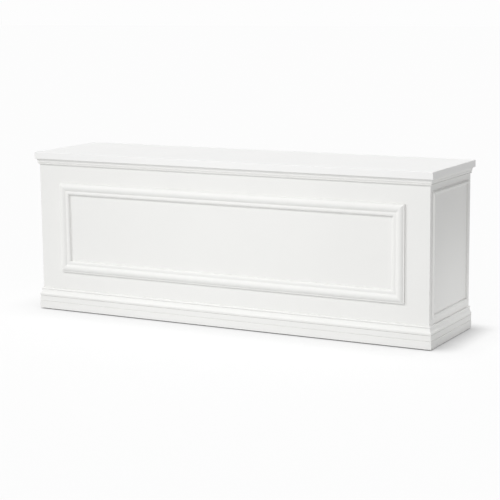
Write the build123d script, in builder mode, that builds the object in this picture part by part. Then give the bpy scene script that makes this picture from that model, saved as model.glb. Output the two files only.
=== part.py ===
from build123d import *
import os
from math import sqrt

# A white panelled buffet counter, closed towards the guests and open at the back for the staff.
# The origin is on the floor, under the middle of the worktop. X runs along the counter, the guests
# stand on the -Y side and Z is up. All sizes are in millimetres.

# Overall size: 8 ft long, 2 ft deep and 3 ft high
LENGTH = 2438.4
DEPTH = 609.6
HEIGHT = 914.4

# Boards and joinery
BOARD = 18.0  # thickness of the carcass boards
HOUSING = 5.0  # depth of the grooves that boards are let into
CORNER_SKIN = 9.0  # wood left in front of an end panel where the front panel is rebated for it
CORNER_EASE = 1.0  # rounding of the front panel's corners
EASED_EDGE = 1.5  # rounding of the board edges that the staff touch
BAYS = 3  # open bays between the two end panels
KICK_HEIGHT = 95.0  # kick rail, from its lower edge to the deck
KICK_SETBACK = 50.0  # room for the staff's toes
SHELF_ABOVE_DECK = 370.0  # from the deck's upper face to the shelf's
SHELF_SETBACK = 70.0
STRETCHER_WIDTH = 90.0

# Worktop: a board inside a deeper lipping
TOP_BOARD = 18.0
TOP_EDGE = 38.0  # depth of the lipping
LIPPING = 18.0  # thickness of the lipping
LIPPING_CLEAR = 2.0  # from the lipping's inner face to the body
TOP_EASE = 2.5  # rounding of the upper edge
UNDER_EASE = 1.2  # rounding of the lower edge

# Crown moulding under the worktop, from the bottom up
CROWN_BEAD = 13.0  # height of the lower bead
CROWN_BEAD_REACH = 6.5
CROWN_BEAD_ROUND = 2.5
CROWN_COVE = 8.0
CROWN_FILLET = 9.0  # upright fillet below the worktop
CROWN_SETBACK = 6.5  # from the worktop's edge to that fillet

# Plinth board, from the bottom up
FLOOR_GAP = 5.0  # the plinth stands this far off the floor
PLINTH_BAND = 42.0  # lower band
PLINTH_BAND_REACH = 16.5
PLINTH_EASE = 1.0  # rounding and bevel of the lower band's edges
PLINTH_GROOVE = 2.0
PLINTH_GROOVE_REACH = 14.0
PLINTH_FACE = 27.5  # upper face
PLINTH_FACE_REACH = 15.5
PLINTH_QUIRK = 3.5  # shadow gap under the cap
PLINTH_QUIRK_REACH = 12.5

# Plinth cap, from the bottom up
CAP_FILLET = 10.0
CAP_FILLET_REACH = 16.5
CAP_STEP = 1.2  # the cove starts this far behind the fillet
CAP_COVE = 21.0
CAP_COVE_SAG = 2.2  # how deep the cove is hollowed
CAP_QUIRK = 2.0
CAP_QUIRK_REACH = 6.0
CAP_BEAD = 11.0
CAP_BEAD_REACH = 9.0

# Wide frame on the front panel, from its outer edge inwards
FRAME_SIDE_MARGIN = 136.0  # from the body's corner to the frame
FRAME_TOP_MARGIN = 103.0  # from the crown to the frame
FRAME_FOOT_MARGIN = 105.0  # from the plinth cap to the frame
FRAME_FILLET = 8.0
FRAME_FILLET_RISE = 7.0
FRAME_TORUS = 31.0
FRAME_TORUS_RUN = 17.0  # from the torus's outer edge to its crest
FRAME_TORUS_CREST = 19.0
FRAME_TORUS_END = 14.5
FRAME_COVE = 9.0
FRAME_VALLEY = 10.0
FRAME_BEAD = 15.0
FRAME_BEAD_CREST = 12.0
FRAME_LIP = 4.0
FRAME_LIP_RISE = 4.0

# Narrow frame on each end panel, from its outer edge inwards
END_SIDE_MARGIN = 31.0
END_TOP_MARGIN = 33.0
END_FOOT_MARGIN = 31.0
END_FILLET = 2.5
END_FILLET_RISE = 5.0
END_COVE = 6.0
END_COVE_RISE = 8.5
END_BEAD = 9.0
END_BEAD_CREST = 11.0
END_LIP = 2.5
END_LIP_RISE = 4.0

# Levelling feet
BLOCK = 60.0  # square of the wooden block that holds a foot
STEM_RADIUS = 5.0
STEM_NECK = 15.0  # from the stem's lower end to its hexagon
STEM_HEADROOM = 8.0  # from the stem's upper end to the deck
HEX_ACROSS_FLATS = 17.0
HEX_HEIGHT = 8.0
PAD_RADIUS = 20.0
PAD_HEIGHT = 8.0
PAD_FLOOR = 3.0  # thickness under the stem
INSERT_WALL = 1.5
INSERT_LENGTH = 15.0
INSERT_GAP = 0.3  # from the hexagon to the insert when the foot is screwed home
INSERT_CLEARANCE = 0.05  # round the insert in its block
STEM_CLEARANCE = 0.05  # round the stem in its insert
PAD_CLEARANCE = 0.1  # round the stem in its pad

# Places that follow from the sizes
overhang = LIPPING + LIPPING_CLEAR
body_half = LENGTH / 2 - overhang
body_front = overhang - DEPTH / 2
body_back = DEPTH / 2 - overhang
inner_half = body_half - BOARD
inner_front = body_front + BOARD
rebate_back = body_front + CORNER_SKIN
panel_top = HEIGHT - TOP_BOARD
lipping_bottom = HEIGHT - TOP_EDGE
stretcher_bottom = panel_top - BOARD
deck_bottom = FLOOR_GAP + KICK_HEIGHT
deck_top = deck_bottom + BOARD
shelf_top = deck_top + SHELF_ABOVE_DECK
shelf_bottom = shelf_top - BOARD
shelf_back = body_back - SHELF_SETBACK
kick_back = body_back - KICK_SETBACK
kick_front = kick_back - BOARD
bay_pitch = 2 * inner_half / BAYS
divider_middles = [bay_pitch * n - inner_half for n in range(1, BAYS)]
crown_bottom = lipping_bottom - CROWN_BEAD - CROWN_COVE - CROWN_FILLET
plinth_top = FLOOR_GAP + PLINTH_BAND + PLINTH_GROOVE + PLINTH_FACE + PLINTH_QUIRK
cap_top = plinth_top + CAP_FILLET + CAP_COVE + CAP_QUIRK + CAP_BEAD
stretcher_spans = {
    "front": (inner_front, inner_front + STRETCHER_WIDTH),
    "back": (body_back - STRETCHER_WIDTH, body_back),
}

SIDES = {"left": -1, "right": 1}
FRONTWARDS = (0, -1, 0)
UPWARDS = (0, 0, 1)
DOWNWARDS = (0, 0, -1)
OUTSIDE, SQUARE, INSIDE = 1, 0, -1  # ways to cut the end of a moulding
MITRE_SPARE = 60.0  # rough length beyond each end of a moulding, which its cut takes off


def keep(piece, node):
    """Names a finished piece and writes it."""
    piece.part.label = node
    export_step(piece.part, f"parts/{node}.step")


def span(side, inner, outer):
    """Low and high X of what lies between two distances from the middle, on one side of it."""
    return sorted((side * inner, side * outer))


def wood(low, high, mode=Mode.ADD):
    """A square block between two corners, added to the piece being built or cut out of it."""
    middle = tuple((a + b) / 2 for a, b in zip(low, high))
    with Locations(middle):
        Box(*(b - a for a, b in zip(low, high)), mode=mode)


def quarter(start, end, centre):
    """A quarter round or quarter hollow between two points of a section, about a centre."""
    share = sqrt(0.5)
    middle = tuple(c + share * (a - c) + share * (b - c) for a, b, c in zip(start, end, centre))
    ThreePointArc(start, middle, end)


def lipping_outline():
    """A square edge with a rounded upper corner and an eased lower one."""
    top_inner = LIPPING - TOP_EASE
    under_inner = LIPPING - UNDER_EASE
    top_round = TOP_EDGE - TOP_EASE
    Polyline((top_inner, TOP_EDGE), (0, TOP_EDGE), (0, 0), (under_inner, 0))
    quarter((under_inner, 0), (LIPPING, UNDER_EASE), (under_inner, UNDER_EASE))
    Line((LIPPING, UNDER_EASE), (LIPPING, top_round))
    quarter((LIPPING, top_round), (top_inner, TOP_EDGE), (top_inner, top_round))


def crown_outline():
    """Bead at the bottom, a hollow above it and an upright fillet against the worktop."""
    fillet_reach = overhang - CROWN_SETBACK
    cove_top = CROWN_BEAD + CROWN_COVE
    top = cove_top + CROWN_FILLET
    bead_inner = CROWN_BEAD_REACH - CROWN_BEAD_ROUND
    Polyline((fillet_reach, cove_top), (fillet_reach, top), (0, top), (0, 0), (bead_inner, 0))
    quarter((bead_inner, 0), (CROWN_BEAD_REACH, CROWN_BEAD_ROUND), (bead_inner, CROWN_BEAD_ROUND))
    Line((CROWN_BEAD_REACH, CROWN_BEAD_ROUND), (CROWN_BEAD_REACH, CROWN_BEAD))
    quarter((CROWN_BEAD_REACH, CROWN_BEAD), (fillet_reach, cove_top), (fillet_reach, CROWN_BEAD))


def plinth_outline():
    """A prouder band at the floor, a fine groove, a plain face and a shadow gap under the cap."""
    groove_top = PLINTH_BAND + PLINTH_GROOVE
    face_top = groove_top + PLINTH_FACE
    top = face_top + PLINTH_QUIRK
    band_inner = PLINTH_BAND_REACH - PLINTH_EASE
    Polyline(
        (PLINTH_BAND_REACH, PLINTH_EASE),
        (PLINTH_BAND_REACH, PLINTH_BAND - PLINTH_EASE),
        (band_inner, PLINTH_BAND),
        (PLINTH_GROOVE_REACH, PLINTH_BAND),
        (PLINTH_GROOVE_REACH, groove_top),
        (PLINTH_FACE_REACH, groove_top),
        (PLINTH_FACE_REACH, face_top),
        (PLINTH_QUIRK_REACH, face_top),
        (PLINTH_QUIRK_REACH, top),
        (0, top),
        (0, 0),
        (band_inner, 0),
    )
    quarter((band_inner, 0), (PLINTH_BAND_REACH, PLINTH_EASE), (band_inner, PLINTH_EASE))


def cap_outline():
    """A fillet over the plinth, a long hollow, a quirk and a round bead on top."""
    cove_reach = CAP_FILLET_REACH - CAP_STEP
    cove_top = CAP_FILLET + CAP_COVE
    quirk_top = cove_top + CAP_QUIRK
    top = quirk_top + CAP_BEAD
    Polyline(
        (CAP_QUIRK_REACH, top),
        (0, top),
        (0, 0),
        (CAP_FILLET_REACH, 0),
        (CAP_FILLET_REACH, CAP_FILLET),
        (cove_reach, CAP_FILLET),
    )
    SagittaArc((cove_reach, CAP_FILLET), (CAP_QUIRK_REACH, cove_top), CAP_COVE_SAG)
    Line((CAP_QUIRK_REACH, cove_top), (CAP_QUIRK_REACH, quirk_top))
    ThreePointArc(
        (CAP_QUIRK_REACH, quirk_top),
        (CAP_BEAD_REACH, quirk_top + CAP_BEAD / 2),
        (CAP_QUIRK_REACH, top),
    )


def front_frame_outline():
    """Outer fillet, a large torus, a hollow, a small bead and a lip down to the panel."""
    torus_end = FRAME_FILLET + FRAME_TORUS
    bead_start = torus_end + FRAME_COVE
    bead_end = bead_start + FRAME_BEAD
    inner = bead_end + FRAME_LIP
    Polyline(
        (bead_end, FRAME_VALLEY),
        (inner, FRAME_LIP_RISE),
        (inner, 0),
        (0, 0),
        (0, FRAME_FILLET_RISE),
        (FRAME_FILLET, FRAME_FILLET_RISE),
    )
    ThreePointArc(
        (FRAME_FILLET, FRAME_FILLET_RISE),
        (FRAME_FILLET + FRAME_TORUS_RUN, FRAME_TORUS_CREST),
        (torus_end, FRAME_TORUS_END),
    )
    quarter((torus_end, FRAME_TORUS_END), (bead_start, FRAME_VALLEY), (bead_start, FRAME_TORUS_END))
    ThreePointArc(
        (bead_start, FRAME_VALLEY),
        (bead_start + FRAME_BEAD / 2, FRAME_BEAD_CREST),
        (bead_end, FRAME_VALLEY),
    )


def end_frame_outline():
    """Outer fillet, a hollow and a bead that falls to the panel."""
    cove_end = END_FILLET + END_COVE
    bead_end = cove_end + END_BEAD
    inner = bead_end + END_LIP
    Polyline(
        (bead_end, END_COVE_RISE),
        (inner, END_LIP_RISE),
        (inner, 0),
        (0, 0),
        (0, END_FILLET_RISE),
        (END_FILLET, END_FILLET_RISE),
    )
    quarter((END_FILLET, END_FILLET_RISE), (cove_end, END_COVE_RISE), (END_FILLET, END_COVE_RISE))
    ThreePointArc(
        (cove_end, END_COVE_RISE),
        (cove_end + END_BEAD / 2, END_BEAD_CREST),
        (bead_end, END_COVE_RISE),
    )


def moulding(outline, across, rise, ends):
    """A straight length of moulding.

    outline draws its section, with x across its bed and y rising off it. ends holds two places on
    the bed's edge, each with the way that end is cut.
    """
    across = Vector(*across)
    along = across.cross(Vector(*rise))
    places = [Vector(*place) for place, cut in ends]
    middle = (places[0] + places[1]) * 0.5
    half = (places[1] - places[0]).length / 2
    with BuildPart() as run:
        with BuildSketch(Plane(origin=middle, x_dir=across, z_dir=along)):
            with BuildLine():
                outline()
            make_face()
        extrude(amount=half + MITRE_SPARE, both=True)
        for place, (_, cut) in zip(places, ends):
            outward = (place - middle).normalized()
            split(bisect_by=Plane(origin=place, z_dir=outward - across * cut), keep=Keep.BOTTOM)
    return run


def wrap_around(outline, name, height):
    """A moulding on the guests' side: a front length, and end lengths cut square at the back."""
    corners = {side: (sign * body_half, body_front, height) for side, sign in SIDES.items()}
    ends = [(corner, OUTSIDE) for corner in corners.values()]
    keep(moulding(outline, FRONTWARDS, UPWARDS, ends), f"{name}_front")
    for side, sign in SIDES.items():
        back = (sign * body_half, body_back, height)
        ends = [(corners[side], OUTSIDE), (back, SQUARE)]
        keep(moulding(outline, (sign, 0, 0), UPWARDS, ends), f"{name}_{side}")


def picture_frame(outline, name, stiles, rise, low, high):
    """Four mitred lengths planted on an upright face.

    stiles names the two upright lengths, rise is the direction that the face looks in, and low and
    high are the frame's outer corners.
    """
    low_top = (low[0], low[1], high[2])
    high_foot = (high[0], high[1], low[2])
    inwards = (Vector(*high_foot) - Vector(*low)).normalized()
    lengths = {
        "top": (DOWNWARDS, low_top, high),
        "bottom": (UPWARDS, low, high_foot),
        stiles[0]: (inwards, low, low_top),
        stiles[1]: (-inwards, high_foot, high),
    }
    for place, (across, first, last) in lengths.items():
        ends = [(first, INSIDE), (last, INSIDE)]
        keep(moulding(outline, across, rise, ends), f"{name}_{place}")


os.makedirs("parts", exist_ok=True)

# Worktop board, and its lipping in four lengths that are mitred at the corners
board_half = LENGTH / 2 - LIPPING
board_back = DEPTH / 2 - LIPPING
with BuildPart() as worktop_panel:
    wood((-board_half, -board_back, panel_top), (board_half, board_back, HEIGHT))
keep(worktop_panel, "worktop_panel")

lipping_sides = {"front": (0, -1), "back": (0, 1), "left": (-1, 0), "right": (1, 0)}
for place, (dx, dy) in lipping_sides.items():
    ends = [
        (((dx + turn * dy) * board_half, (dy + turn * dx) * board_back, lipping_bottom), OUTSIDE)
        for turn in (1, -1)
    ]
    keep(moulding(lipping_outline, (dx, dy, 0), UPWARDS, ends), f"worktop_lipping_{place}")

# Mouldings towards the guests
wrap_around(crown_outline, "crown", crown_bottom)
wrap_around(plinth_outline, "plinth", FLOOR_GAP)
wrap_around(cap_outline, "plinth_cap", plinth_top)
picture_frame(
    front_frame_outline,
    "front_frame",
    ("left", "right"),
    FRONTWARDS,
    (FRAME_SIDE_MARGIN - body_half, body_front, cap_top + FRAME_FOOT_MARGIN),
    (body_half - FRAME_SIDE_MARGIN, body_front, crown_bottom - FRAME_TOP_MARGIN),
)
for side, sign in SIDES.items():
    picture_frame(
        end_frame_outline,
        f"{side}_frame",
        ("front", "back"),
        (sign, 0, 0),
        (sign * body_half, body_front + END_SIDE_MARGIN, cap_top + END_FOOT_MARGIN),
        (sign * body_half, body_back - END_SIDE_MARGIN, crown_bottom - END_TOP_MARGIN),
    )

# Front panel, rebated for the end panels and grooved for the deck and the dividers
with BuildPart() as front_panel:
    wood((-body_half, body_front, FLOOR_GAP), (body_half, inner_front, panel_top))
    fillet(front_panel.edges().filter_by(Axis.Z).group_by(Axis.Y)[0], CORNER_EASE)
    for sign in SIDES.values():
        low, high = span(sign, inner_half, body_half)
        wood((low, rebate_back, FLOOR_GAP), (high, inner_front, panel_top), Mode.SUBTRACT)
    wood(
        (-inner_half, inner_front - HOUSING, deck_bottom),
        (inner_half, inner_front, deck_top),
        Mode.SUBTRACT,
    )
    for middle in divider_middles:
        wood(
            (middle - BOARD / 2, inner_front - HOUSING, deck_top),
            (middle + BOARD / 2, inner_front, stretcher_bottom),
            Mode.SUBTRACT,
        )
keep(front_panel, "front_panel")

# End panels, grooved inside for the deck, a shelf and both stretchers
for side, sign in SIDES.items():
    low, high = span(sign, inner_half, body_half)
    groove_low, groove_high = span(sign, inner_half, inner_half + HOUSING)
    with BuildPart() as end_panel:
        wood((low, rebate_back, FLOOR_GAP), (high, body_back, panel_top))
        fillet(end_panel.edges().filter_by(Axis.Z).group_by(Axis.Y)[-1], EASED_EDGE)
        wood(
            (groove_low, inner_front - HOUSING, deck_bottom),
            (groove_high, body_back, deck_top),
            Mode.SUBTRACT,
        )
        wood(
            (groove_low, inner_front, shelf_bottom),
            (groove_high, shelf_back, shelf_top),
            Mode.SUBTRACT,
        )
        for front, back in stretcher_spans.values():
            wood(
                (groove_low, front, stretcher_bottom),
                (groove_high, back, panel_top),
                Mode.SUBTRACT,
            )
    keep(end_panel, f"{side}_end_panel")

# Deck, grooved on top for the dividers
with BuildPart() as deck:
    wood(
        (-inner_half - HOUSING, inner_front - HOUSING, deck_bottom),
        (inner_half + HOUSING, body_back, deck_top),
    )
    fillet(deck.edges().filter_by(Axis.X).group_by(Axis.Y)[-1], EASED_EDGE)
    for middle in divider_middles:
        wood(
            (middle - BOARD / 2, inner_front - HOUSING, deck_top - HOUSING),
            (middle + BOARD / 2, body_back, deck_top),
            Mode.SUBTRACT,
        )
keep(deck, "deck")

# Dividers, notched for the stretchers and grooved on both faces for the shelves
for number, middle in enumerate(divider_middles, start=1):
    low, high = middle - BOARD / 2, middle + BOARD / 2
    with BuildPart() as divider:
        wood((low, inner_front - HOUSING, deck_top - HOUSING), (high, body_back, panel_top))
        fillet(divider.edges().filter_by(Axis.Z).group_by(Axis.Y)[-1], EASED_EDGE)
        wood(
            (low, inner_front - HOUSING, stretcher_bottom),
            (high, stretcher_spans["front"][1], panel_top),
            Mode.SUBTRACT,
        )
        wood(
            (low, stretcher_spans["back"][0], stretcher_bottom),
            (high, body_back, panel_top),
            Mode.SUBTRACT,
        )
        for groove_low, groove_high in ((low, low + HOUSING), (high - HOUSING, high)):
            wood(
                (groove_low, inner_front, shelf_bottom),
                (groove_high, shelf_back, shelf_top),
                Mode.SUBTRACT,
            )
    keep(divider, f"divider_{number}")

# Shelves, one to a bay, let into the boards beside them
bay_lefts = [-inner_half] + [middle + BOARD / 2 for middle in divider_middles]
bay_rights = [middle - BOARD / 2 for middle in divider_middles] + [inner_half]
for number, (left, right) in enumerate(zip(bay_lefts, bay_rights), start=1):
    with BuildPart() as shelf:
        wood(
            (left - HOUSING, inner_front, shelf_bottom),
            (right + HOUSING, shelf_back, shelf_top),
        )
        fillet(shelf.edges().filter_by(Axis.X).group_by(Axis.Y)[-1], EASED_EDGE)
    keep(shelf, f"shelf_{number}")

# Stretchers, laid flat under the worktop and let into the end panels
for place, (front, back) in stretcher_spans.items():
    with BuildPart() as stretcher:
        wood(
            (-inner_half - HOUSING, front, stretcher_bottom),
            (inner_half + HOUSING, back, panel_top),
        )
    keep(stretcher, f"{place}_stretcher")

# Base under the deck: kick rail at the back and a bearer under each divider
with BuildPart() as kick_rail:
    wood((-inner_half, kick_front, FLOOR_GAP), (inner_half, kick_back, deck_bottom))
keep(kick_rail, "kick_rail")
for number, middle in enumerate(divider_middles, start=1):
    with BuildPart() as bearer:
        wood(
            (middle - BOARD / 2, inner_front, FLOOR_GAP),
            (middle + BOARD / 2, kick_front, deck_bottom),
        )
    keep(bearer, f"bearer_{number}")

# Places of the feet: two rows, with a foot beside each end panel and one in the middle
foot_columns = {"left": BLOCK / 2 - inner_half, "middle": 0, "right": inner_half - BLOCK / 2}
foot_rows = {"front": inner_front + BLOCK / 2, "back": kick_front - BLOCK / 2}
feet = {
    f"{row}_{column}": (x, y)
    for row, y in foot_rows.items()
    for column, x in foot_columns.items()
}

# Heights and radii of a foot that is screwed home
hex_bottom = PAD_FLOOR + STEM_NECK
block_bottom = hex_bottom + HEX_HEIGHT + INSERT_GAP
stem_top = deck_bottom - STEM_HEADROOM
insert_radius = STEM_RADIUS + STEM_CLEARANCE + INSERT_WALL

# Wooden blocks under the deck, bored right through for the inserts and the stems
with BuildPart() as foot_blocks:
    with Locations(*[(x, y, (block_bottom + deck_bottom) / 2) for x, y in feet.values()]):
        Box(BLOCK, BLOCK, deck_bottom - block_bottom)
        Hole(insert_radius + INSERT_CLEARANCE)
keep(foot_blocks, "foot_blocks")

# Threaded inserts, flush with the underside of their blocks
with BuildPart() as foot_inserts:
    with BuildSketch(Plane.XY.offset(block_bottom)):
        with Locations(*feet.values()):
            Circle(insert_radius)
            Circle(STEM_RADIUS + STEM_CLEARANCE, mode=Mode.SUBTRACT)
    extrude(amount=INSERT_LENGTH)
keep(foot_inserts, "foot_inserts")

# Each foot: a pad with a socket, and a stem that turns in it, with a hexagon for the spanner
for name, place in feet.items():
    with BuildPart() as pad:
        with BuildSketch():
            with Locations(place):
                Circle(PAD_RADIUS)
        extrude(amount=PAD_HEIGHT)
        with Locations((*place, PAD_HEIGHT)):
            Hole(STEM_RADIUS + PAD_CLEARANCE, depth=PAD_HEIGHT - PAD_FLOOR)
    keep(pad, f"pad_{name}")
    with BuildPart() as stem:
        with BuildSketch(Plane.XY.offset(PAD_FLOOR)):
            with Locations(place):
                Circle(STEM_RADIUS)
        extrude(amount=stem_top - PAD_FLOOR)
        with BuildSketch(Plane.XY.offset(hex_bottom)):
            with Locations(place):
                RegularPolygon(HEX_ACROSS_FLATS / 2, 6, major_radius=False)
        extrude(amount=HEX_HEIGHT)
    keep(stem, f"stem_{name}")
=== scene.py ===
# %% [markdown]
# # A white panelled buffet counter
# The counter is a long painted box with a flat worktop, moulded frames towards the guests and open bays
# behind. Its boards, feet and joints come from the imported model, which is loaded first and never moved.
# This script gives every surface its finish, models the mouldings and feet more finely, adds the screws
# that hold the worktop, and sets up a plain studio. The box of the imported model is kept.

# %% Load the frame
import bmesh
import bpy
import math
from mathutils import Matrix, Vector


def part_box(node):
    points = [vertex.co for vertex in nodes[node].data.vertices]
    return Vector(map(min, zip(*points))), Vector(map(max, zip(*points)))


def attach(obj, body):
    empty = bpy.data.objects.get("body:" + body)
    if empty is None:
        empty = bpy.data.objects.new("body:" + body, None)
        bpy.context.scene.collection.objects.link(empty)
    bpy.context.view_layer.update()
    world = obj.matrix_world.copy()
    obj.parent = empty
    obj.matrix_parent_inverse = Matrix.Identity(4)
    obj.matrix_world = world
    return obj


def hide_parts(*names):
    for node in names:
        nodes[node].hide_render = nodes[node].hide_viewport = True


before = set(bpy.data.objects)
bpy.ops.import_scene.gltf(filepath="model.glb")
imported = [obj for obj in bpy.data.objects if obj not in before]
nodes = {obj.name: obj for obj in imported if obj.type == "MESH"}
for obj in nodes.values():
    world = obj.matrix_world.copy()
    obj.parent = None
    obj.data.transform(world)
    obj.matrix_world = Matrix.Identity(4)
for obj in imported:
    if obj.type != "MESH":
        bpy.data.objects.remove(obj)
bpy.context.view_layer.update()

MM = 0.001
scene = bpy.context.scene

# %% [markdown]
# ## The camera
# The camera comes first, because every later choice is judged through it. It could be placed by eye, but
# the counter's length, depth and height are known, so its edges in the picture fix where the camera
# stood: in front and to the right, higher than the worktop, with a long lens. A picture of 500 pixels and a
# focal length in pixels give the lens for the sensor's width.

# %% Camera
PICTURE_SIDE = 500  # pixels
FOCAL_LENGTH = 1518.4  # pixels
CAMERA_PLACE = (3.9987, -7.3378, 1.8237)
CAMERA_YAW = math.radians(28.509)  # turned to the left of straight ahead
CAMERA_PITCH = math.radians(9.764)  # tipped down
CAMERA_ROLL = math.radians(-0.583)
SENSOR_WIDTH = 36  # millimetres
SIGHT = 200  # metres, well past the floor's edge

camera_data = bpy.data.cameras.new("camera")
camera_data.sensor_width = SENSOR_WIDTH
camera_data.lens = FOCAL_LENGTH / PICTURE_SIDE * SENSOR_WIDTH
camera_data.clip_end = SIGHT
camera = bpy.data.objects.new("camera", camera_data)
scene.collection.objects.link(camera)
camera.matrix_world = (
    Matrix.Translation(CAMERA_PLACE)
    @ Matrix.Rotation(CAMERA_YAW, 4, "Z")
    @ Matrix.Rotation(math.pi / 2 - CAMERA_PITCH, 4, "X")
    @ Matrix.Rotation(CAMERA_ROLL, 4, "Z")
)
scene.camera = camera
scene.view_settings.view_transform = "Standard"
print("lens", round(camera_data.lens, 1), "mm")

# %% [markdown]
# ## Nodes and colours
# Every finish below is a small tree of shader nodes. One function adds a node, sets its settings and
# links or fills its sockets, one turns an sRGB colour, as a paint chart or a picture gives it, into the
# linear numbers that the renderer works with, and one starts an empty material.

# %% Helpers for nodes and colours


def add(tree, kind, sockets=None, **settings):
    """Adds a node. A socket's value is a number, a colour or another node's output, which is linked."""
    made = tree.nodes.new(kind)
    for name, value in settings.items():
        setattr(made, name, value)
    for name, value in (sockets or {}).items():
        if isinstance(value, bpy.types.NodeSocket):
            tree.links.new(value, made.inputs[name])
        else:
            made.inputs[name].default_value = value
    return made


def linear(code):
    """The linear colour of an sRGB hex code such as #F3F3F1."""
    parts = [int(code[n : n + 2], 16) / 255 for n in (1, 3, 5)]
    return [p / 12.92 if p <= 0.04045 else ((p + 0.055) / 1.055) ** 2.4 for p in parts] + [1.0]


def new_material(name):
    """An empty material with its tree of nodes."""
    material = bpy.data.materials.new(name)
    material.use_nodes = True
    material.node_tree.nodes.clear()
    return material, material.node_tree


print("paint white", [round(v, 3) for v in linear("#F3F3F1")])

# %% [markdown]
# ## The studio
# The counter stands on a white floor that runs out of sight into a white background. Lamps strong enough
# to make the floor pure white would burn out the paint, so the camera, and what it sees mirrored, is
# shown a white world and a floor that glows, while a dimmer, even sky lights the object. The floor still
# takes the counter's shadow, and its glow fades close to the counter, a painted shadow where less of a
# studio's light would reach.

# %% Sky and floor
SKY = 0.36  # light of the sky on a white surface, where 1 would make it pure white
FLOOR_GLOW = 0.556  # added to the light that the floor throws back
FLOOR_SHADOW_REACH = 0.3  # metres from the counter within which the glow fades into a painted shadow
FADE_POWER = 0.45  # below 1, so that the glow fades late and then fast
FLOOR_HALF = 60.0  # metres from the middle to the floor's edge
AIR_RAYS = 12  # rays that feel how open a point is to the air around it


def seen_rays(tree):
    """One for rays from the camera, a mirroring surface or a clear one, and zero for all others."""
    ray = add(tree, "ShaderNodeLightPath").outputs
    seen = ray["Is Camera Ray"]
    for other in ("Is Glossy Ray", "Is Transmission Ray"):
        seen = add(tree, "ShaderNodeMath", {0: seen, 1: ray[other]}, operation="MAXIMUM").outputs[0]
    return seen


world = bpy.data.worlds.new("studio")
scene.world = world
world.use_nodes = True
tree = world.node_tree
tree.nodes.clear()
light = add(tree, "ShaderNodeBackground", {"Color": linear("#FFFFFF"), "Strength": SKY})
white = add(tree, "ShaderNodeBackground", {"Color": linear("#FDFDFD"), "Strength": 1.0})
both = add(tree, "ShaderNodeMixShader", {0: seen_rays(tree), 1: light.outputs[0], 2: white.outputs[0]})
add(tree, "ShaderNodeOutputWorld", {"Surface": both.outputs[0]})

floor_paint, tree = new_material("studio_floor")
seen = seen_rays(tree)
shade = add(
    tree,
    "ShaderNodeMix",
    {"Factor": seen, "A": linear("#ADADAD"), "B": linear("#909090")},
    data_type="RGBA",
)
matt = add(tree, "ShaderNodeBsdfDiffuse", {"Color": shade.outputs["Result"]})
# Painted shadow: the glow fades where the counter closes off the air around the floor.
open_air = add(tree, "ShaderNodeAmbientOcclusion", {"Distance": FLOOR_SHADOW_REACH}, samples=AIR_RAYS)
fade = add(tree, "ShaderNodeMath", {0: open_air.outputs["AO"], 1: FADE_POWER}, operation="POWER")
level = add(tree, "ShaderNodeMath", {0: fade.outputs[0], 1: FLOOR_GLOW}, operation="MULTIPLY")
glow = add(tree, "ShaderNodeMath", {0: seen, 1: level.outputs[0]}, operation="MULTIPLY")
shine = add(tree, "ShaderNodeEmission", {"Color": linear("#FFFFFF"), "Strength": glow.outputs[0]})
both = add(tree, "ShaderNodeAddShader", {0: matt.outputs[0], 1: shine.outputs[0]})
add(tree, "ShaderNodeOutputMaterial", {"Surface": both.outputs[0]})

bm = bmesh.new()
bmesh.ops.create_grid(bm, x_segments=1, y_segments=1, size=FLOOR_HALF)
floor_mesh = bpy.data.meshes.new("floor")
bm.to_mesh(floor_mesh)
bm.free()
floor = bpy.data.objects.new("floor", floor_mesh)
floor.data.materials.append(floor_paint)
scene.collection.objects.link(floor)
print("sky", SKY, "floor", floor.dimensions[:])

# %% [markdown]
# Two distant lamps light the guests' side. The main one is high in front, only just left of straight
# ahead, and draws a shadow under the worktop, the crown and every moulding. The right-hand end lies in
# its shade, apart from what stands out from it. A weaker lamp is low on the left, so that the mouldings'
# left and right edges differ, and a third one lights the worktop and the open bays from behind. Sun lamps
# fit: their light is the same all along the counter, and their angle makes them as soft as a softbox that
# looks that wide. A softbox near the middle of the front lets the light fall off a little towards both
# ends, and a low card on the right lightens the foot of the right-hand end. The floor has a lamp of its
# own, nearly overhead, which leaves only a short, soft shadow beside that end. Light linking keeps the
# lamps apart.

# %% Lamps
BOX_PLACE = Vector((-0.1, -2.3, 0.9))
BOX_AIM = Vector((-0.1, 0, 0.4))
BOX_SIDE = 0.8  # metres
BOX_POWER = 5  # watts
CARD_PLACE = Vector((1.8, 0.14, 0.13))
CARD_FACES = Vector((-1, 0, 0))
CARD_WIDTH = 0.8  # metres
CARD_HEIGHT = 0.26  # metres
CARD_POWER = 1.06  # watts


def link_lamp(name, data, turn, place=(0, 0, 0), on_floor=False):
    """Puts a lamp into the scene; it shines on the floor alone, or on everything else."""
    lamp = bpy.data.objects.new(name, data)
    lamp.matrix_world = Matrix.Translation(place) @ turn.to_matrix().to_4x4()
    scene.collection.objects.link(lamp)
    lit = bpy.data.collections.new(name + "_reaches")
    lit.objects.link(floor)
    lit.collection_objects[0].light_linking.link_state = "INCLUDE" if on_floor else "EXCLUDE"
    lamp.light_linking.receiver_collection = lit


def distant_lamp(name, azimuth, elevation, width, light, on_floor=False):
    """A distant lamp, at angles in degrees to the left of the front and above the floor.

    light is what a white surface that faces the lamp gets, where 1 would make it pure white.
    """
    turn, tilt = math.radians(azimuth), math.radians(elevation)
    towards = Vector((-math.sin(turn) * math.cos(tilt), -math.cos(turn) * math.cos(tilt), math.sin(tilt)))
    data = bpy.data.lights.new(name, "SUN")
    data.angle = math.radians(width)
    data.energy = light * math.pi
    link_lamp(name, data, towards.to_track_quat("Z", "Y"), on_floor=on_floor)
    print(name, "shines from", [round(v, 2) for v in towards])


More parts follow.
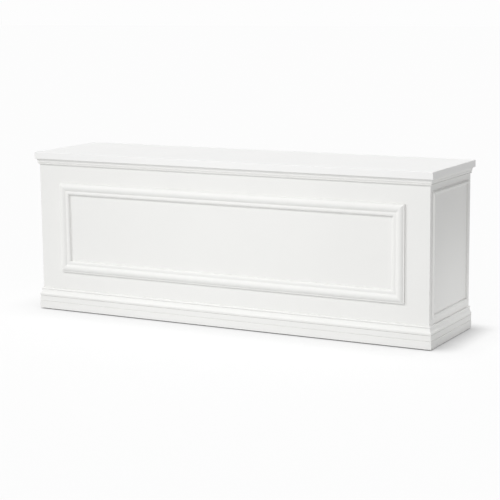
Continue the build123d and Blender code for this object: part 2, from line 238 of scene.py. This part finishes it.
distant_lamp("main_lamp", azimuth=3, elevation=48, width=4, light=0.345)
distant_lamp("left_lamp", azimuth=50, elevation=25, width=8, light=0.22)
distant_lamp("back_lamp", azimuth=180, elevation=65, width=8, light=0.22)
distant_lamp("floor_lamp", azimuth=60, elevation=85, width=10, light=1.15, on_floor=True)

softbox = bpy.data.lights.new("softbox", "AREA")
softbox.size = BOX_SIDE
softbox.energy = BOX_POWER
link_lamp("softbox", softbox, (BOX_PLACE - BOX_AIM).to_track_quat("Z", "Y"), BOX_PLACE)

card = bpy.data.lights.new("card", "AREA")
card.shape = "RECTANGLE"
card.size = CARD_WIDTH
card.size_y = CARD_HEIGHT
card.energy = CARD_POWER
link_lamp("card", card, (-CARD_FACES).to_track_quat("Z", "Y"), CARD_PLACE)
print("softbox", BOX_POWER, "W, card", CARD_POWER, "W")

# %% [markdown]
# ## White paint
# The boards are painted in a warm white satin paint. A paint film is almost flat: broad, barely visible
# clouds where the coat is thicker, and a fine texture that breaks up the gloss, left by the spray gun or
# the roller. The quirks between the mouldings are darkened with painted shade, for the shadow lines that
# fall in them. How open a point is to the air around it, over a few millimetres, says where such a quirk
# is, so an ambient occlusion node places the painted shade on any shape. The same film finishes the
# worktop, which is a cooler and glossier white, and the bays, whose rolled coat is duller and coarser.

# %% White paint
CLOUD = 420 * MM  # size of the clouds in the coat
QUIRK_SHADE_REACH = 6 * MM  # width of the corners that get painted shade
SHADED_AIR = 0.25  # share of open air below which a point gets the full painted shade
UNSHADED_AIR = 0.6  # share of open air above which a point gets no painted shade
COAT_RELIEF = 0.05 * MM  # height of the coat's texture


def white_paint(name, thick, thin, quirk_shade, texture, gloss):
    """A satin paint: its two whites, its painted shade for the quirks, its texture's size in metres and its
    range of roughness.
    """
    material, tree = new_material(name)
    place = add(tree, "ShaderNodeTexCoord").outputs["Object"]
    cloud = add(tree, "ShaderNodeTexNoise", {"Vector": place, "Scale": 1 / CLOUD, "Detail": 3.0})
    grain = add(tree, "ShaderNodeTexNoise", {"Vector": place, "Scale": 1 / texture, "Detail": 1.0})
    coat = add(
        tree,
        "ShaderNodeMix",
        {"Factor": cloud.outputs[0], "A": linear(thick), "B": linear(thin)},
        data_type="RGBA",
    )
    # Painted shade: where little air is open around a point, in the quirks, the colour turns to the shade
    # colour.
    open_air = add(tree, "ShaderNodeAmbientOcclusion", {"Distance": QUIRK_SHADE_REACH}, samples=AIR_RAYS)
    painted_shade = add(
        tree,
        "ShaderNodeMapRange",
        {
            "Value": open_air.outputs["AO"],
            "From Min": SHADED_AIR,
            "From Max": UNSHADED_AIR,
            "To Min": 1.0,
            "To Max": 0.0,
        },
    )
    colour = add(
        tree,
        "ShaderNodeMix",
        {"Factor": painted_shade.outputs[0], "A": coat.outputs["Result"], "B": linear(quirk_shade)},
        data_type="RGBA",
    )
    sheen = add(
        tree,
        "ShaderNodeMapRange",
        {"Value": cloud.outputs[0], "To Min": gloss[0], "To Max": gloss[1]},
    )
    bump = add(
        tree,
        "ShaderNodeBump",
        {"Height": grain.outputs[0], "Strength": 0.15, "Distance": COAT_RELIEF},
    )
    shader = add(
        tree,
        "ShaderNodeBsdfPrincipled",
        {
            "Base Color": colour.outputs["Result"],
            "Roughness": sheen.outputs[0],
            "Normal": bump.outputs[0],
            "IOR": 1.48,
        },
    )
    add(tree, "ShaderNodeOutputMaterial", {"Surface": shader.outputs[0]})
    return material


# The last colour of each paint is its painted shade for the quirks.
sprayed_paint = white_paint("sprayed_satin_paint", "#F3F3F1", "#EFEFED", "#B3B0AB", 3.5 * MM, (0.48, 0.60))
worktop_paint = white_paint("worktop_satin_paint", "#F8F8F7", "#F4F4F3", "#C4C3C0", 3.0 * MM, (0.42, 0.54))
rolled_paint = white_paint("rolled_satin_paint", "#ECEBE7", "#E7E6E2", "#B8B5AF", 5.0 * MM, (0.52, 0.66))
print("paints", [m.name for m in (sprayed_paint, worktop_paint, rolled_paint)])

# %% [markdown]
# ## Softwood
# The bearers and foot blocks under the deck are planed softwood, left bare. Sawn flat from the log, it
# shows long, narrow bands of pale early wood and darker late wood on its sides and gently bent rings on
# its ends. A noise that is stretched far along the board and less far across it gives both, and the late
# wood is also a little smoother. The boards lie front to back, so the noise is stretched most along Y.

# %% Planed softwood
RING = 5 * MM  # from one dark band to the next
SWEEP = 45 * MM  # width over which a ring bends on the end grain
FIGURE = 180 * MM  # length over which a band wanders
LATE_WOOD = (0.4, 0.62)  # the noise's level where late wood starts and where it is full
WOOD_RELIEF = 0.15 * MM  # how far the late wood stands out

softwood, tree = new_material("planed_softwood")
place = add(tree, "ShaderNodeTexCoord").outputs["Object"]
drawn = add(tree, "ShaderNodeMapping", {"Vector": place, "Scale": (1 / SWEEP, 1 / FIGURE, 1 / RING)})
rings = add(
    tree,
    "ShaderNodeTexNoise",
    {"Vector": drawn.outputs[0], "Scale": 1.0, "Detail": 4.0, "Distortion": 0.6},
)
late = add(
    tree,
    "ShaderNodeMapRange",
    {"Value": rings.outputs[0], "From Min": LATE_WOOD[0], "From Max": LATE_WOOD[1]},
)
grain = add(
    tree,
    "ShaderNodeMix",
    {"Factor": late.outputs[0], "A": linear("#DDBF92"), "B": linear("#B98C57")},
    data_type="RGBA",
)
sheen = add(tree, "ShaderNodeMapRange", {"Value": late.outputs[0], "To Min": 0.68, "To Max": 0.52})
bump = add(tree, "ShaderNodeBump", {"Height": late.outputs[0], "Strength": 0.3, "Distance": WOOD_RELIEF})
shader = add(
    tree,
    "ShaderNodeBsdfPrincipled",
    {
        "Base Color": grain.outputs["Result"],
        "Roughness": sheen.outputs[0],
        "Normal": bump.outputs[0],
        "IOR": 1.5,
    },
)
add(tree, "ShaderNodeOutputMaterial", {"Surface": shader.outputs[0]})
print("softwood bands", round(RING / MM), "mm apart")

# %% [markdown]
# ## Zinc and nylon
# Threaded steel for furniture is bright zinc plated: a pale, faintly blue metal whose plating is a little
# cloudy, so its gloss varies from place to place. The pads are moulded in black nylon. Their mould was
# eroded by sparks, which leaves an even, fine grain; it is drawn about three times as coarse as it is,
# because it would not show otherwise.

# %% Zinc plate and moulded nylon
PLATING_CLOUD = 7 * MM  # size of the clouds in the plating
MOULD_GRAIN = 1.2 * MM  # about 0.4 mm on a real moulding
MOULD_RELIEF = 0.05 * MM  # height of that grain

zinc, tree = new_material("bright_zinc_plate")
place = add(tree, "ShaderNodeTexCoord").outputs["Object"]
cloud = add(tree, "ShaderNodeTexNoise", {"Vector": place, "Scale": 1 / PLATING_CLOUD, "Detail": 3.0})
plating = add(
    tree,
    "ShaderNodeMix",
    {"Factor": cloud.outputs[0], "A": linear("#D3D7D9"), "B": linear("#BFC1BD")},
    data_type="RGBA",
)
sheen = add(tree, "ShaderNodeMapRange", {"Value": cloud.outputs[0], "To Min": 0.22, "To Max": 0.42})
shader = add(
    tree,
    "ShaderNodeBsdfPrincipled",
    {"Base Color": plating.outputs["Result"], "Roughness": sheen.outputs[0], "Metallic": 1.0},
)
add(tree, "ShaderNodeOutputMaterial", {"Surface": shader.outputs[0]})

nylon, tree = new_material("moulded_black_nylon")
place = add(tree, "ShaderNodeTexCoord").outputs["Object"]
grain = add(tree, "ShaderNodeTexNoise", {"Vector": place, "Scale": 1 / MOULD_GRAIN, "Detail": 2.0})
tint = add(
    tree,
    "ShaderNodeMix",
    {"Factor": grain.outputs[0], "A": linear("#232427"), "B": linear("#2D2E31")},
    data_type="RGBA",
)
sheen = add(tree, "ShaderNodeMapRange", {"Value": grain.outputs[0], "To Min": 0.45, "To Max": 0.6})
bump = add(tree, "ShaderNodeBump", {"Height": grain.outputs[0], "Strength": 0.4, "Distance": MOULD_RELIEF})
shader = add(
    tree,
    "ShaderNodeBsdfPrincipled",
    {
        "Base Color": tint.outputs["Result"],
        "Roughness": sheen.outputs[0],
        "Normal": bump.outputs[0],
        "IOR": 1.53,
    },
)
add(tree, "ShaderNodeOutputMaterial", {"Surface": shader.outputs[0]})
print("metals and plastics", zinc.name, nylon.name)

# %% [markdown]
# ## Finishes of the boards
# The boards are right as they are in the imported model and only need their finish. A node's name says
# where it is: the worktop, the panels that the guests see, the timber under the deck or the inserts. The
# others get the paint of the bays. Among them are the mouldings and the feet, but finer pieces, with
# finishes of their own, take their place below.

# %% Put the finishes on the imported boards
FINISHES = {
    "worktop": worktop_paint,
    "front_panel": sprayed_paint,
    "left_end": sprayed_paint,
    "right_end": sprayed_paint,
    "bearer": softwood,
    "foot_blocks": softwood,
    "foot_inserts": zinc,
}
for name, node in nodes.items():
    finish = next((f for start, f in FINISHES.items() if name.startswith(start)), rolled_paint)
    node.data.materials.clear()
    node.data.materials.append(finish)
print("finishes on", len(nodes), "nodes")

# %% [markdown]
# ## Mouldings
# Crown, plinth, plinth cap and frames are run on a spindle moulder: one cutter shape along a whole
# length, which is then cut to mitres at the corners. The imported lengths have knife-sharp edges, and those
# of real ones are eased by sanding and by the paint. A curve with a bevel profile could make a length,
# but its mitres would be stretched. Here the section is drawn first, as a pen would draw it: straight
# strokes are extruded vertices, and rounds and hollows are spun about the centre of their arc. Each
# corner that isn't on the wall gets a small bevel.

# %% Draw a section
ARC_STEPS = 8
EASE = 0.5 * MM  # rounding of a painted edge
EASE_STEPS = 3
SHARP = math.radians(32)  # a sharper bend than this is an edge
SECTION_MERGE = 0.01 * MM  # points of a section that are closer than this become one


def points_of(made):
    """The vertices among what an operator made."""
    return [part for part in made if isinstance(part, bmesh.types.BMVert)]


def arc_through(start, middle, end):
    """Centre of the arc through three points of a section, and the angle that it turns."""
    a, b = middle - start, end - start
    across = Vector((b.y, -b.x, 0)) * a.length_squared + Vector((-a.y, a.x, 0)) * b.length_squared
    centre = start + across / (2 * (a.x * b.y - a.y * b.x))
    return centre, (end - centre).xy.angle_signed((start - centre).xy)


def draw_section(bm, strokes, wall):
    """Draws a closed section from (0, 0), in millimetres.

    Two numbers of a stroke are a line's end, and four are an arc's middle and end. wall is the axis,
    0 or 1, along which the section stands off the wall.
    """
    pen = bm.verts.new((0, 0, 0))
    for stroke in strokes:
        end = Vector((*stroke[-2:], 0)) * MM
        if len(stroke) == 2:
            pen = bmesh.ops.extrude_vert_indiv(bm, verts=[pen])["verts"][0]
            pen.co = end
        else:
            centre, turn = arc_through(pen.co, Vector((*stroke[:2], 0)) * MM, end)
            spun = bmesh.ops.spin(bm, geom=[pen], cent=centre, axis=(0, 0, 1), angle=turn, steps=ARC_STEPS)
            pen = points_of(spun["geom_last"])[0]
    bmesh.ops.remove_doubles(bm, verts=bm.verts, dist=SECTION_MERGE)
    bmesh.ops.contextual_create(bm, geom=bm.edges)
    corners = [v for v in bm.verts if v.co[wall] > 0 and v.calc_edge_angle() > SHARP]
    bmesh.ops.bevel(
        bm,
        geom=corners,
        offset=EASE,
        offset_type="OFFSET",
        segments=EASE_STEPS,
        profile=0.5,
        affect="VERTICES",
        clamp_overlap=True,
        material=-1,
    )


print("painted edges are eased by", EASE / MM, "mm")

# %% [markdown]
# Two steps are needed again and again. A plane saws off what lies beyond it and leaves a rim, which is
# filled again. And a finished shape becomes a piece of the visual model: it rides on a body, takes a finish
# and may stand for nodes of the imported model. Its bends are shaded smooth up to the angle of an edge, and
# the larger faces lead the shading, so that flat ones stay flat beside a bevel.

# %% Saw and keep a shape
ON_THE_CUT = 0.0001 * MM  # points this close to the saw's plane lie on it


def saw_off(bm, place, way):
    """Saws off what lies beyond a plane and closes the cut."""
    everything = bm.verts[:] + bm.edges[:] + bm.faces[:]
    sawn = bmesh.ops.bisect_plane(
        bm, geom=everything, dist=ON_THE_CUT, plane_co=place, plane_no=way, clear_outer=True
    )
    rim = [part for part in sawn["geom_cut"] if isinstance(part, bmesh.types.BMEdge)]
    bmesh.ops.contextual_create(bm, geom=rim)


def keep_piece(bm, name, body, finish, replaced=()):
    """Makes a mesh a piece that rides on a body, with its finish and the nodes that it stands for."""
    mesh = bpy.data.meshes.new(name)
    for face in bm.faces:
        face.smooth = True
    bm.to_mesh(mesh)
    bm.free()
    mesh.set_sharp_from_angle(angle=SHARP)
    mesh.materials.append(finish)
    piece = bpy.data.objects.new(name, mesh)
    scene.collection.objects.link(piece)
    piece.modifiers.new("flat_faces_stay_flat", "WEIGHTED_NORMAL").keep_sharp = True
    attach(piece, body)
    if replaced:
        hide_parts(*replaced)


print("bends of more than", round(math.degrees(SHARP)), "degrees are edges")

# %% [markdown]
# A section is extruded by the length of its node, and its ends are sawn to mitres. On the frames the
# mitres run inwards from the outer edge, and on the lengths that wrap round the counter they run outwards
# from the wall. Last the length is laid in its place: the columns of its matrix are the ways in which the
# section's two numbers run and the way along the length, and its corner is a corner of the node's box.

# %% Make a length of moulding


def box_of(bm):
    """Lowest and highest corner of a mesh."""
    points = [v.co for v in bm.verts]
    return [Vector(pick(p[i] for p in points) for i in range(3)) for pick in (min, max)]


def run_moulding(node, strokes, wall, across, rise, mitres):
    """Runs a section along a node and lays it in the node's place.

    across and rise are the ways in which the section's first and second number run. mitres are the cuts
    at its two ends: 1 runs outwards, -1 inwards, 0 is square.
    """
    across, rise = Vector(across), Vector(rise)
    along = across.cross(rise)
    low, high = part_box(node)
    length = abs((high - low).dot(along))
    width = max(stroke[-2] for stroke in strokes) * MM
    bm = bmesh.new()
    draw_section(bm, strokes, wall)
    far = points_of(bmesh.ops.extrude_face_region(bm, geom=bm.faces[:])["geom"])
    bmesh.ops.translate(bm, verts=far, vec=(0, 0, length))
    for place, outward, cut in ((0, -1, mitres[0]), (length, 1, mitres[1])):
        if cut:
            saw_off(bm, (width if cut > 0 else 0, 0, place), (-cut, 0, outward))
    matrix = Matrix((across, rise, along)).transposed().to_4x4()
    matrix.translation = [low[i] if (across + rise + along)[i] > 0 else high[i] for i in range(3)]
    bmesh.ops.transform(bm, matrix=matrix, verts=bm.verts)
    bmesh.ops.recalc_face_normals(bm, faces=bm.faces)
    off = max((made - kept).length for made, kept in zip(box_of(bm), (low, high)))
    print(node, len(bm.faces), "faces, box off by", round(off / MM, 3), "mm")
    keep_piece(bm, node + "_moulding", "counter", sprayed_paint, [node])


# %% [markdown]
# ### Crown, plinth and cap
# Three mouldings wrap round the guests' side: the crown under the worktop, a splayed face with a fine
# quirk across it and a fillet at its head and foot; the plinth, a band and a face with a fine groove
# between them and a quirk under the cap; and the cap, with a fillet, a long hollow, a quirk and a bead.
# Their sections start at the wall, at the foot, and return to it at the top, so the first number is the
# reach and the second the height. The end lengths are square at the back.

# %% Crown, plinth and cap
WRAPS = {
    "crown": (
        (8, 0), (8, 2.5), (5.5, 3), (9.8, 14), (8.6, 15), (13, 27), (13.5, 27), (13.5, 30), (0, 30), (0, 0),
    ),
    "plinth": (
        (15.5, 0), (16.21, 0.29, 16.5, 1), (16.5, 41), (15.5, 42), (14, 42), (14, 44),
        (15.5, 44), (15.5, 72.5), (13.8, 72.5), (13.8, 75), (0, 75), (0, 0),
    ),
    "plinth_cap": (
        (16.5, 0), (16.5, 10), (15.3, 10), (9.8, 20.2, 6, 31), (6, 33), (9, 38.5, 6, 44), (0, 44), (0, 0),
    ),
}
UP = (0, 0, 1)
# For each side, the way off the wall and the cuts at both ends
WRAP_SIDES = {
    "front": ((0, -1, 0), (1, 1)),
    "left": ((-1, 0, 0), (1, 0)),
    "right": ((1, 0, 0), (0, 1)),
}
for moulding, strokes in WRAPS.items():
    for side, (off_wall, mitres) in WRAP_SIDES.items():
        run_moulding(f"{moulding}_{side}", strokes, wall=0, across=off_wall, rise=UP, mitres=mitres)

# %% [markdown]
# ### Frames
# A wide frame is planted on the front panel: a fillet, a large torus, a hollow, a small bead and a lip
# that falls to the panel. The end panels have a narrow one: a low edge, a steep outer face, a flat round
# on top and a lip. These sections start at the frame's outer edge, on the panel, so the first number runs
# inwards and the second is the rise.

# %% Frames
WIDE_FRAME = (
    (0, 10), (5, 10), (23, 19, 39, 15), (42, 12.9, 48, 11.9), (55.5, 13, 63, 11), (67, 4), (67, 0), (0, 0),
)
NARROW_FRAME = (
    (0, 2), (1, 2), (5.5, 10.5), (10.5, 10.8, 17.5, 8.5), (20, 4), (20, 0), (0, 0),
)
INWARDS = (-1, -1)
# For each length, the way from the frame's outer edge to its middle
RAILS = {"top": (0, 0, -1), "bottom": (0, 0, 1)}
FRONT_LENGTHS = RAILS | {"left": (1, 0, 0), "right": (-1, 0, 0)}
END_LENGTHS = RAILS | {"front": (0, 1, 0), "back": (0, -1, 0)}
# For each frame, its section, the way off the panel and its lengths
FRAMES = {
    "front_frame": (WIDE_FRAME, (0, -1, 0), FRONT_LENGTHS),
    "left_frame": (NARROW_FRAME, (-1, 0, 0), END_LENGTHS),
    "right_frame": (NARROW_FRAME, (1, 0, 0), END_LENGTHS),
}
for frame_name, (strokes, off_panel, lengths) in FRAMES.items():
    for side, inwards in lengths.items():
        run_moulding(f"{frame_name}_{side}", strokes, wall=1, across=inwards, rise=off_panel, mitres=INWARDS)

# %% [markdown]
# ## Levelling feet
# Six feet carry the counter: a threaded M10 rod with a hexagon for a spanner stands in a nylon pad.
# Turned shapes are lathed: half a section is drawn from the axis to the axis and spun once round, and the
# seam and the poles on the axis are merged. The thread is the same spin with a climb in every step: a
# ridge of one pitch is wound up the rod, and each turn merges with the next. Its ends are sawn off
# square, and the upper one is chamfered.

# %% Lathe and thread
LATHE_STEPS = 48
THREAD_STEPS = 16  # steps in one turn
PITCH = 1.5 * MM
THREAD_ROOT = 4.08 * MM  # radius
THREAD_CREST = 5 * MM  # radius
RIDGE_PARTS = 16  # a pitch has so many parts, in which the ridge's heights are given
RIDGE = ((THREAD_ROOT, 0), (THREAD_ROOT, 4), (THREAD_CREST, 9), (THREAD_CREST, 11), (THREAD_ROOT, 16))
SPARE_TURNS = 2  # wound past each end and sawn off
TIP = 1 * MM  # height of the chamfered tip
TIP_SHARE = 0.82  # size of the tip's end against its start
SKIN_MERGE = 0.005 * MM  # points of a skin that are closer than this become one


def spin_chain(points, turns, climb, steps, merge):
    """Spins a chain of points, as radius and height in metres, about the Z axis into a skin."""
    bm = bmesh.new()
    chain = [bm.verts.new((radius, 0, height)) for radius, height in points]
    chain += [bm.edges.new(pair) for pair in zip(chain, chain[1:])]
    bmesh.ops.spin(
        bm,
        geom=chain,
        axis=(0, 0, 1),
        dvec=(0, 0, climb / steps),
        angle=2 * math.pi * turns,
        steps=steps * turns,
        use_merge=merge,
    )
    bmesh.ops.remove_doubles(bm, verts=bm.verts, dist=SKIN_MERGE)
    bmesh.ops.recalc_face_normals(bm, faces=bm.faces)
    return bm


def lathe(points):
    """Turns half a section, given in millimetres, that starts and ends on the axis."""
    return spin_chain([(r * MM, z * MM) for r, z in points], 1, 0, LATHE_STEPS, True)


def wind_thread(low, high):
    """Winds a thread from low to high, with a chamfered tip at the top."""
    start = low - SPARE_TURNS * PITCH
    ridge = [(radius, start + part * PITCH / RIDGE_PARTS) for radius, part in RIDGE]
    turns = math.ceil((high - low) / PITCH) + 2 * SPARE_TURNS
    bm = spin_chain(ridge, turns, PITCH, THREAD_STEPS, False)
    saw_off(bm, (0, 0, low), (0, 0, -1))
    saw_off(bm, (0, 0, high - TIP), (0, 0, 1))
    end = max(bm.faces, key=lambda face: face.calc_center_median().z)
    tip = points_of(bmesh.ops.extrude_face_region(bm, geom=[end])["geom"])
    bmesh.ops.translate(bm, verts=tip, vec=(0, 0, TIP))
    bmesh.ops.scale(bm, verts=tip, vec=(TIP_SHARE, TIP_SHARE, 1))
    return bm


def join(shapes):
    """Puts closed shapes into one mesh."""
    whole = bmesh.new()
    for shape in shapes:
        mesh = bpy.data.meshes.new("shape")
        shape.to_mesh(mesh)
        shape.free()
        whole.from_mesh(mesh)
        bpy.data.meshes.remove(mesh)
    bmesh.ops.recalc_face_normals(whole, faces=whole.faces)
    return whole


print("thread", round(2 * THREAD_CREST / MM, 1), "mm wide, pitch", round(PITCH / MM, 1), "mm")

# %% [markdown]
# A spanner's hexagon is a lathed disc with chamfered rims, of which six flats are sawn off: that leaves
# the bowed chamfers that a real one has. The pad is moulded with a chamfered foot, a sloping shoulder, a
# collar round the rod and a shallow hollow underneath, so that it stands on its rim. The rod has a hair
# of play in its socket, so that it turns freely.

# %% Feet
HEXAGON = 17 * MM  # across the flats
# Half sections, as radius and height in millimetres
ROD_NECK = ((0, 3), (4.2, 3), (5, 3.8), (5, 18), (0, 18))
ROD_DISC = ((0, 18), (8.2, 18), (9.81, 18.93), (9.81, 25.07), (8.2, 26), (0, 26))
PAD = (
    (0, 0.6), (15, 0.6), (16, 0), (19, 0), (20, 1), (20, 3), (19.4, 3.8), (10.2, 6), (9.2, 6.6), (9, 7.6),
    (8.6, 8), (5.5, 8), (5.1, 7.6), (5.1, 2.9), (0, 2.9),
)

disc = lathe(ROD_DISC)
for side in range(6):
    way = Matrix.Rotation(math.radians(60 * side + 30), 3, "Z") @ Vector((1, 0, 0))
    saw_off(disc, way * HEXAGON / 2, way)
rod_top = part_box("stem_front_left")[1].z
rod = join([lathe(ROD_NECK), disc, wind_thread(ROD_DISC[-1][1] * MM, rod_top)])
pad = lathe(PAD)
print("rod", len(rod.faces), "faces up to", round(rod_top / MM, 3), "mm, pad", len(pad.faces), "faces")

for foot in [name.removeprefix("pad_") for name in nodes if name.startswith("pad_")]:
    low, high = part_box("pad_" + foot)
    for shape, body, finish, slot in (
        (rod, "stem_" + foot, zinc, "zinc_plated_steel"),
        (pad, "pad_" + foot, nylon, "moulded_nylon"),
    ):
        bm = shape.copy()
        bmesh.ops.translate(bm, verts=bm.verts, vec=((low.x + high.x) / 2, (low.y + high.y) / 2, 0))
        keep_piece(bm, body + "_fine", body, finish, [body])
rod.free()
pad.free()

# %% [markdown]
# ## Worktop screws
# Screws through the stretchers hold the worktop from below. Only their countersunk heads show, with a
# cross for the driver. A head is a rim and a cross-shaped loop inside it, bridged into one face ring; the
# loop is pushed into the head and tapers to a floor, and the rim is raised into the wood.

# %% One screw head
HEAD = 4 * MM  # radius
HEAD_HEIGHT = 2 * MM
RIM_STEPS = 24
CROSS = (2.1 * MM, 0.45 * MM)  # half the length and half the width of an arm
RECESS = 1.6 * MM  # depth of the cross
RECESS_SHARE = 0.55  # size of the cross at its floor against its mouth

head = bmesh.new()
bmesh.ops.create_circle(head, segments=RIM_STEPS, radius=HEAD)
long, slim = CROSS
corners = [(long, -slim), (long, slim), (slim, slim), (slim, long), (-slim, long), (-slim, slim)]
corners += [(-x, -y) for x, y in corners]
loop = [head.verts.new((x, y, 0)) for x, y in corners]
edges = [head.edges.new(pair) for pair in zip(loop, loop[1:] + loop[:1])]
bmesh.ops.bridge_loops(head, edges=head.edges[:])
deep = points_of(bmesh.ops.extrude_edge_only(head, edges=edges)["geom"])
bmesh.ops.translate(head, verts=deep, vec=(0, 0, RECESS))
bmesh.ops.scale(head, verts=deep, vec=(RECESS_SHARE, RECESS_SHARE, 1))
bmesh.ops.contextual_create(head, geom=[edge for edge in head.edges if set(edge.verts) <= set(deep)])
brim = [edge for edge in head.edges if edge.is_boundary]
raised = points_of(bmesh.ops.extrude_edge_only(head, edges=brim)["geom"])
bmesh.ops.translate(head, verts=raised, vec=(0, 0, HEAD_HEIGHT))
bmesh.ops.contextual_create(head, geom=[edge for edge in head.edges if edge.is_boundary])
bmesh.ops.recalc_face_normals(head, faces=head.faces)
print("screw head", len(head.faces), "faces")

# %% [markdown]
# Each stretcher has two screws in every bay, the same way in from both sides of the bay. The heads stand a
# hair off the wood. They are copies of the one head, and along a stretcher each is turned further than the
# last, because screws don't all stop at one angle.

# %% Place the screws
PROUD = 0.2 * MM  # how far a head stands off the wood
SCREW_INSET = 168 * MM  # from the side of a bay
SCREW_TURN = 0.7  # radians from one screw to the next

uprights = [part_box(name) for name in ("left_end_panel", "divider_1", "divider_2", "right_end_panel")]
columns = []
for left_upright, right_upright in zip(uprights, uprights[1:]):
    columns += [left_upright[1].x + SCREW_INSET, right_upright[0].x - SCREW_INSET]
screws = []
for stretcher in ("front_stretcher", "back_stretcher"):
    low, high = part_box(stretcher)
    for number, column in enumerate(columns):
        copy = head.copy()
        place = Matrix.Translation((column, (low.y + high.y) / 2, low.z - PROUD))
        turned = Matrix.Rotation(SCREW_TURN * number, 4, "Z")
        bmesh.ops.transform(copy, matrix=place @ turned, verts=copy.verts)
        screws.append(copy)
head.free()
screws = join(screws)
print("screws", len(screws.faces), "faces, open edges", sum(not edge.is_manifold for edge in screws.edges))
keep_piece(screws, "worktop_screws", "counter", zinc)
